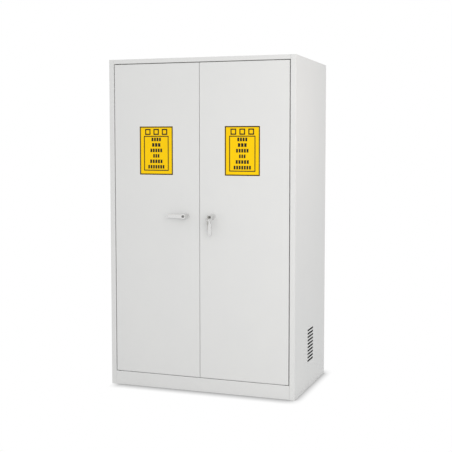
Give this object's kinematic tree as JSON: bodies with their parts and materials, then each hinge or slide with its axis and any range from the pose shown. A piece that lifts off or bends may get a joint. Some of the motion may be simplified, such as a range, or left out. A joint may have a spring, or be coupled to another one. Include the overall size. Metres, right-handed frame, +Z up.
{
  "type": "chemical storage cabinet",
  "caption": "Free-standing light grey steel cabinet with flush doors on pivot hinges, lever locks with rods and latch tongues, spill-tray shelves and side vents.",
  "frame": {"origin": "on the floor at the middle of the carcass's footprint", "axes": "+X to the right seen from the front, +Y from the doors to the back, +Z up"},
  "size_m": [1.16, 0.7403, 1.95],
  "materials": {
    "carcass_paint": "light grey powder coat, satin",
    "door_paint": "light grey powder coat, satin",
    "shelf_paint": "light grey powder coat, satin",
    "zinc_steel": "bright zinc plate",
    "chrome": "polished chrome",
    "rubber": "black",
    "grey_plastic": "light grey polypropylene",
    "black_plastic": "black nylon",
    "notice_vinyl": "yellow vinyl with dark rules",
    "lock_brass": "nickel-plated brass",
    "key_steel": "nickel-plated"
  },
  "bodies": {
    "carcass": {"left_side_panel": "carcass_paint", "right_side_panel": "carcass_paint", "roof_panel": "carcass_paint", "front_plinth": "carcass_paint", "floor_panel": "carcass_paint", "back_panel": "carcass_paint", "centre_base_rail": "carcass_paint", "centre_mullion": "carcass_paint", "partition_panel": "carcass_paint", "door_buffers": "rubber", "left_uprights": "zinc_steel", "left_shelf_hooks": "zinc_steel", "left_sump_tray": "grey_plastic", "left_pivot_pins": "zinc_steel", "left_lower_shelf": "shelf_paint", "left_middle_shelf": "shelf_paint", "left_upper_shelf": "shelf_paint", "right_uprights": "zinc_steel", "right_shelf_hooks": "zinc_steel", "right_sump_tray": "grey_plastic", "right_pivot_pins": "zinc_steel", "right_lower_shelf": "shelf_paint", "right_middle_shelf": "shelf_paint", "right_upper_shelf": "shelf_paint"},
    "left_door": {"left_door_skin": "door_paint", "left_door_stiffener": "door_paint", "left_pivot_bushes": "black_plastic", "left_handle_rose": "chrome", "left_rose_nut": "zinc_steel", "left_lock_case": "zinc_steel", "left_lock_nuts": "zinc_steel", "left_rod_guides": "black_plastic", "left_notice_sheet": "notice_vinyl"},
    "left_handle": {"left_lever": "chrome", "left_spindle": "zinc_steel", "left_drive_pinion": "zinc_steel", "left_latch_tongue": "zinc_steel"},
    "left_upper_bolt": {"left_upper_rod": "zinc_steel"},
    "left_lower_bolt": {"left_lower_rod": "zinc_steel"},
    "left_plug": {"left_lock_plug": "lock_brass"},
    "right_door": {"right_door_skin": "door_paint", "right_door_stiffener": "door_paint", "right_pivot_bushes": "black_plastic", "right_handle_rose": "chrome", "right_rose_nut": "zinc_steel", "right_lock_case": "zinc_steel", "right_lock_nuts": "zinc_steel", "right_rod_guides": "black_plastic", "right_notice_sheet": "notice_vinyl"},
    "right_handle": {"right_lever": "chrome", "right_spindle": "zinc_steel", "right_drive_pinion": "zinc_steel", "right_latch_tongue": "zinc_steel"},
    "right_upper_bolt": {"right_upper_rod": "zinc_steel"},
    "right_lower_bolt": {"right_lower_rod": "zinc_steel"},
    "right_plug": {"right_lock_plug": "lock_brass", "key": "key_steel"},
    "spare_keys": {"key_ring": "chrome", "spare_key": "key_steel"}
  },
  "joints": [
    {"name": "left_door_swing", "type": "hinge", "parent": "carcass", "child": "left_door", "pos_m": [-0.5295, -0.317, 0.0855], "axis": [0, 0, -1], "range_deg": [0, 110]},
    {"name": "left_lever_turn", "type": "hinge", "parent": "left_door", "child": "left_handle", "pos_m": [-0.082, -0.325, 1.035], "axis": [0, -1, 0], "range_deg": [0, 90]},
    {"name": "left_upper_rod_slide", "type": "slide", "parent": "left_door", "child": "left_upper_bolt", "axis": [0, 0, 1], "range_m": [0, 0.0189]},
    {"name": "left_lower_rod_slide", "type": "slide", "parent": "left_door", "child": "left_lower_bolt", "axis": [0, 0, -1], "range_m": [0, 0.0189]},
    {"name": "left_plug_turn", "type": "hinge", "parent": "left_handle", "child": "left_plug", "pos_m": [-0.082, -0.325, 1.035], "axis": [0, -1, 0], "range_deg": [0, 90]},
    {"name": "right_door_swing", "type": "hinge", "parent": "carcass", "child": "right_door", "pos_m": [0.5295, -0.317, 0.0855], "axis": [0, 0, 1], "range_deg": [0, 110]},
    {"name": "right_lever_turn", "type": "hinge", "parent": "right_door", "child": "right_handle", "pos_m": [0.082, -0.325, 1.035], "axis": [0, -1, 0], "range_deg": [0, 90]},
    {"name": "right_upper_rod_slide", "type": "slide", "parent": "right_door", "child": "right_upper_bolt", "axis": [0, 0, 1], "range_m": [0, 0.0189]},
    {"name": "right_lower_rod_slide", "type": "slide", "parent": "right_door", "child": "right_lower_bolt", "axis": [0, 0, -1], "range_m": [0, 0.0189]},
    {"name": "right_plug_turn", "type": "hinge", "parent": "right_handle", "child": "right_plug", "pos_m": [0.082, -0.325, 1.035], "axis": [0, -1, 0], "range_deg": [0, 90]},
    {"name": "spare_key_swing", "type": "hinge", "parent": "right_plug", "child": "spare_keys", "pos_m": [0.082, -0.4028, 1.0327], "axis": [1, 0, 0], "range_deg": [-40, 15]}
  ],
  "couplings": [
    {"joint": "left_upper_rod_slide", "follows": "left_lever_turn", "m_per_rad": 0.012},
    {"joint": "left_lower_rod_slide", "follows": "left_lever_turn", "m_per_rad": 0.012},
    {"joint": "right_upper_rod_slide", "follows": "right_lever_turn", "m_per_rad": 0.012},
    {"joint": "right_lower_rod_slide", "follows": "right_lever_turn", "m_per_rad": 0.012}
  ]
}
